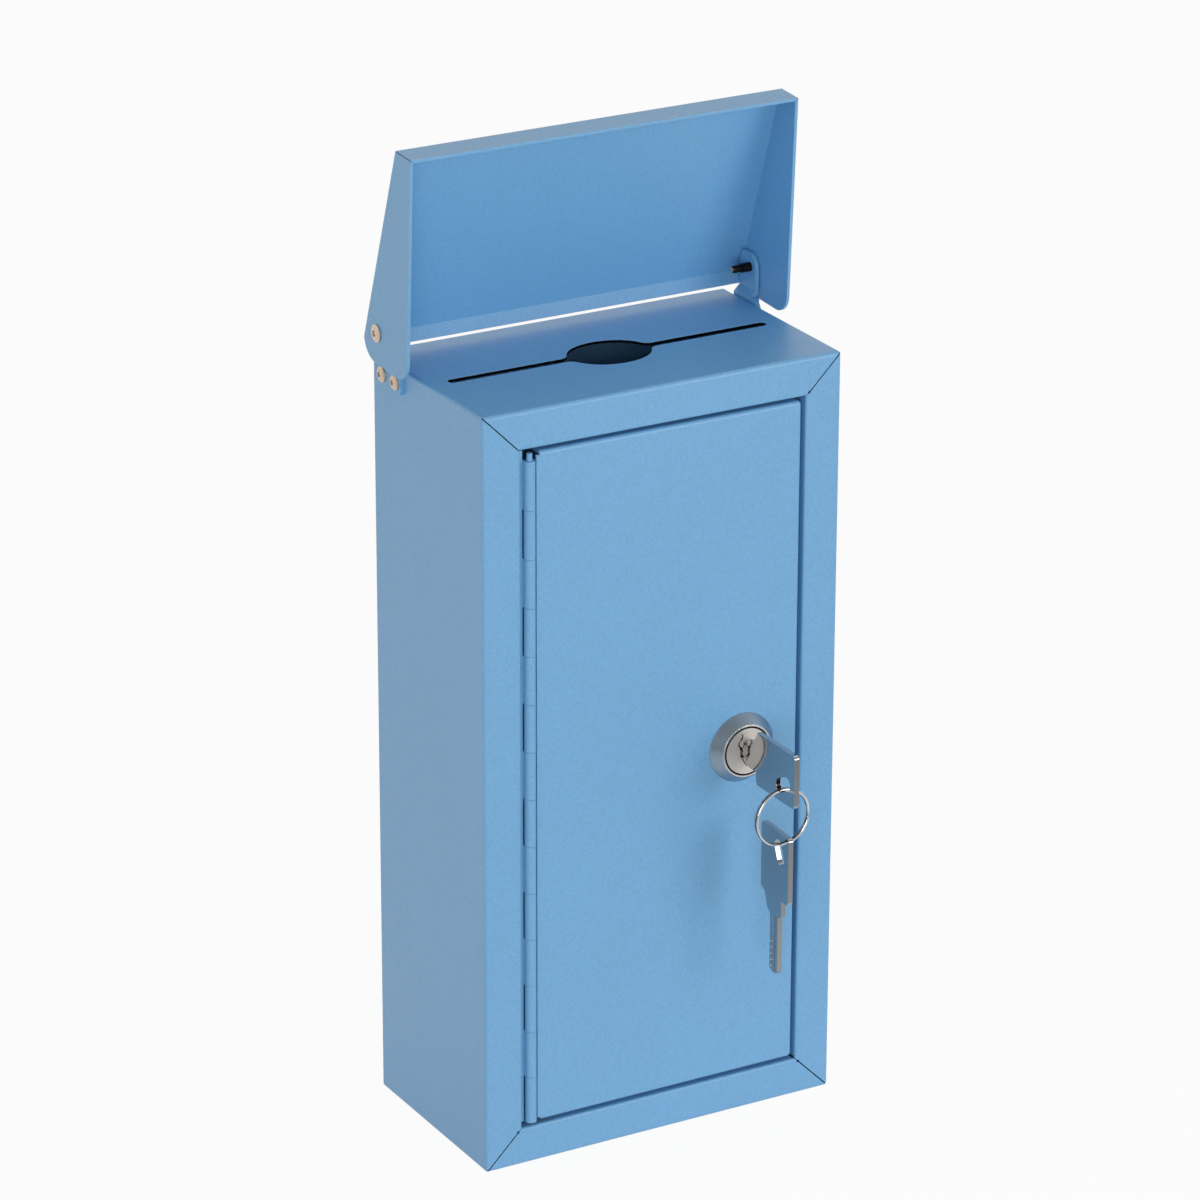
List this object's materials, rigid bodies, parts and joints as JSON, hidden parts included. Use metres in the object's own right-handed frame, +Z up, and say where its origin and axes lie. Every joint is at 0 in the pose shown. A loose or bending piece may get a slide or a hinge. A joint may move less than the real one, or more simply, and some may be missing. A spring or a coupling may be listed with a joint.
{
  "type": "key drop box",
  "caption": "Wall-mounted sheet-steel box with a top drop slot under a hinged sloping hood, and a piano-hinged door with a cam lock and keys.",
  "frame": {"origin": "centre of the bottom face", "axes": "+X to the viewer's right, +Y from the door into the wall, +Z up"},
  "size_m": [0.1662, 0.1245, 0.3914],
  "materials": {
    "powder_coat": "fine-texture semi-matt powder coat",
    "pin_steel": "drawn steel, coated with the hinge",
    "rivet_steel": "zinc-plated steel",
    "pivot_rivet_steel": "zinc-plated steel",
    "lock_nickel": "polished nickel plate",
    "plug_nickel": "satin nickel plate",
    "zinc_steel": "bright zinc plate",
    "wafer_brass": "stamped brass",
    "key_nickel": "polished nickel-plated brass",
    "ring_nickel": "bright nickel-plated spring steel"
  },
  "bodies": {
    "base": {"body_shell": "powder_coat", "back_panel": "powder_coat", "frame_hinge_leaf": "powder_coat", "hinge_pin": "pin_steel", "left_lid_bracket": "powder_coat", "right_lid_bracket": "powder_coat", "bracket_rivets": "rivet_steel", "left_pivot_rivet": "pivot_rivet_steel", "right_pivot_rivet": "pivot_rivet_steel"},
    "lid": {"lid_hood": "powder_coat"},
    "door": {"door_panel": "powder_coat", "door_hinge_leaf": "powder_coat", "lock_housing": "lock_nickel", "lock_nut": "zinc_steel"},
    "plug": {"lock_plug": "plug_nickel", "lock_wafers": "wafer_brass", "cam_stop_washer": "zinc_steel", "lock_cam": "zinc_steel", "cam_spring_washer": "zinc_steel", "cam_screw": "zinc_steel"},
    "key": {"inserted_key": "key_nickel"},
    "ring": {"split_ring": "ring_nickel"},
    "spare": {"spare_key": "key_nickel"}
  },
  "joints": [
    {"name": "lid_hinge", "type": "hinge", "parent": "base", "child": "lid", "pos_m": [0, 0.0287, 0.317], "axis": [1, 0, 0], "range_deg": [0, 87]},
    {"name": "door_swing", "type": "hinge", "parent": "base", "child": "door", "pos_m": [-0.05685, -0.04225, 0.1524], "axis": [0, 0, -1], "range_deg": [0, 170]},
    {"name": "plug_turn", "type": "hinge", "parent": "door", "child": "plug", "pos_m": [0.0347, -0.04225, 0.1531], "axis": [0, 1, 0], "range_deg": [0, 90]},
    {"name": "key_slide", "type": "slide", "parent": "plug", "child": "key", "axis": [0, -1, 0], "range_m": [0, 0.028]},
    {"name": "ring_spin", "type": "hinge", "parent": "key", "child": "ring", "pos_m": [0.0347, -0.0724, 0.13578], "axis": [0, 1, 0], "range_deg": [-90, 0]},
    {"name": "spare_swing", "type": "hinge", "parent": "ring", "child": "spare", "pos_m": [0.0347, -0.0724, 0.12453], "axis": [1, 0, 0], "range_deg": [-60, 20]}
  ],
  "couplings": [
    {"joint": "ring_spin", "follows": "plug_turn", "ratio": -1}
  ]
}
